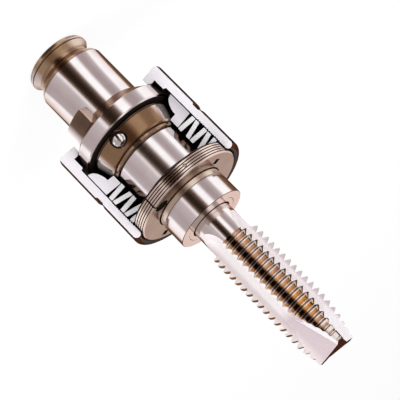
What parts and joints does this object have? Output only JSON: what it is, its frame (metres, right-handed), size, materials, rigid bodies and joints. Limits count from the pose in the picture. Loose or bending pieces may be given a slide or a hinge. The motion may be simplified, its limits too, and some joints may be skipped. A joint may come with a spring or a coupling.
{
  "type": "tapping collet",
  "caption": "Quick-change tapping collet with a ball torque clutch and a spiral-point tap, its housing cut open to show the disc springs.",
  "frame": {"origin": "centre of the flat end face of the shank knob", "axes": "+Z along the turning axis, from the shank to the tap's tip; the cut-out faces -Y"},
  "size_m": [0.0352, 0.0327, 0.1052],
  "materials": {
    "ground_steel": "ground, bright",
    "housing_steel": "turned, with pale painted section faces",
    "bronze_steel": "browned, satin",
    "section_white": "pale paint on the section faces",
    "black_steel": "black oxide",
    "ball_steel": "polished",
    "tap_steel": "ground, gold tinted thread",
    "nylon": "natural"
  },
  "bodies": {
    "holder": {"driver_body": "ground_steel", "ball_cage": "bronze_steel", "housing": "housing_steel", "disc_spring_1": "section_white", "disc_spring_2": "section_white", "disc_spring_3": "section_white", "disc_spring_4": "section_white"},
    "spindle": {"spindle": "ground_steel", "spindle_snap_ring": "black_steel", "collar_snap_ring": "black_steel", "collar_spring": "ball_steel"},
    "clutch_ball_1": {"clutch_ball_1": "ball_steel"},
    "clutch_ball_2": {"clutch_ball_2": "ball_steel"},
    "clutch_ball_3": {"clutch_ball_3": "ball_steel"},
    "thrust_ring": {"thrust_ring": "section_white"},
    "spring_seat": {"spring_seat": "section_white"},
    "adjusting_nut": {"adjusting_nut": "bronze_steel", "nut_lock_screw": "black_steel", "nut_lock_plug": "nylon"},
    "release_collar": {"release_collar": "ground_steel"},
    "lock_ball_1": {"lock_ball_1": "ball_steel"},
    "lock_ball_2": {"lock_ball_2": "ball_steel"},
    "lock_ball_3": {"lock_ball_3": "ball_steel"},
    "tap": {"tap": "tap_steel"}
  },
  "joints": [
    {"name": "clutch_slip", "type": "hinge", "parent": "holder", "child": "spindle", "pos_m": [0, 0, 0.0319], "axis": [0, 0, -1], "range_deg": [0, 16], "stiffness_Nm_per_rad": 0.2, "springref_deg": -17.19},
    {"name": "thrust_ring_slide", "type": "slide", "parent": "holder", "child": "thrust_ring", "axis": [0, 0, 1], "range_m": [0, 0.00111], "deforming": ["disc_spring_1", "disc_spring_2"]},
    {"name": "clutch_ball_1_slide", "type": "slide", "parent": "holder", "child": "clutch_ball_1", "axis": [0.2419, -0.9703, 0], "range_m": [0, 0.00071]},
    {"name": "clutch_ball_2_slide", "type": "slide", "parent": "holder", "child": "clutch_ball_2", "axis": [0.7193, 0.6947, 0], "range_m": [0, 0.00071]},
    {"name": "clutch_ball_3_slide", "type": "slide", "parent": "holder", "child": "clutch_ball_3", "axis": [-0.9613, 0.2756, 0], "range_m": [0, 0.00071]},
    {"name": "nut_turn", "type": "hinge", "parent": "spring_seat", "child": "adjusting_nut", "pos_m": [0, 0, 0.05], "axis": [0, 0, -1], "range_deg": [0, 624]},
    {"name": "nut_advance", "type": "slide", "parent": "holder", "child": "spring_seat", "axis": [0, 0, -1], "range_m": [0, 0.00131], "deforming": ["disc_spring_3", "disc_spring_4"]},
    {"name": "collar_slide", "type": "slide", "parent": "spindle", "child": "release_collar", "axis": [0, 0, -1], "range_m": [0, 0.0022], "stiffness_N_per_m": 400, "springref_m": -0.003, "deforming": ["collar_spring"]},
    {"name": "lock_ball_1_slide", "type": "slide", "parent": "spindle", "child": "lock_ball_1", "axis": [0.9613, -0.2756, 0], "range_m": [0, 0.00051]},
    {"name": "lock_ball_2_slide", "type": "slide", "parent": "spindle", "child": "lock_ball_2", "axis": [-0.2419, 0.9703, 0], "range_m": [0, 0.00051]},
    {"name": "lock_ball_3_slide", "type": "slide", "parent": "spindle", "child": "lock_ball_3", "axis": [-0.7193, -0.6947, 0], "range_m": [0, 0.00051]},
    {"name": "tap_slide", "type": "slide", "parent": "spindle", "child": "tap", "axis": [0, 0, 1], "range_m": [0, 0.05]}
  ],
  "couplings": [
    {"joint": "thrust_ring_slide", "follows": "clutch_slip", "m_per_rad": 0.0039391},
    {"joint": "clutch_ball_1_slide", "follows": "clutch_slip", "m_per_rad": 0.0025067},
    {"joint": "clutch_ball_2_slide", "follows": "clutch_slip", "m_per_rad": 0.0025067},
    {"joint": "clutch_ball_3_slide", "follows": "clutch_slip", "m_per_rad": 0.0025067},
    {"joint": "nut_advance", "follows": "nut_turn", "m_per_rad": 0.00011937},
    {"joint": "lock_ball_1_slide", "follows": "collar_slide", "ratio": 0.22727},
    {"joint": "lock_ball_2_slide", "follows": "collar_slide", "ratio": 0.22727},
    {"joint": "lock_ball_3_slide", "follows": "collar_slide", "ratio": 0.22727}
  ]
}
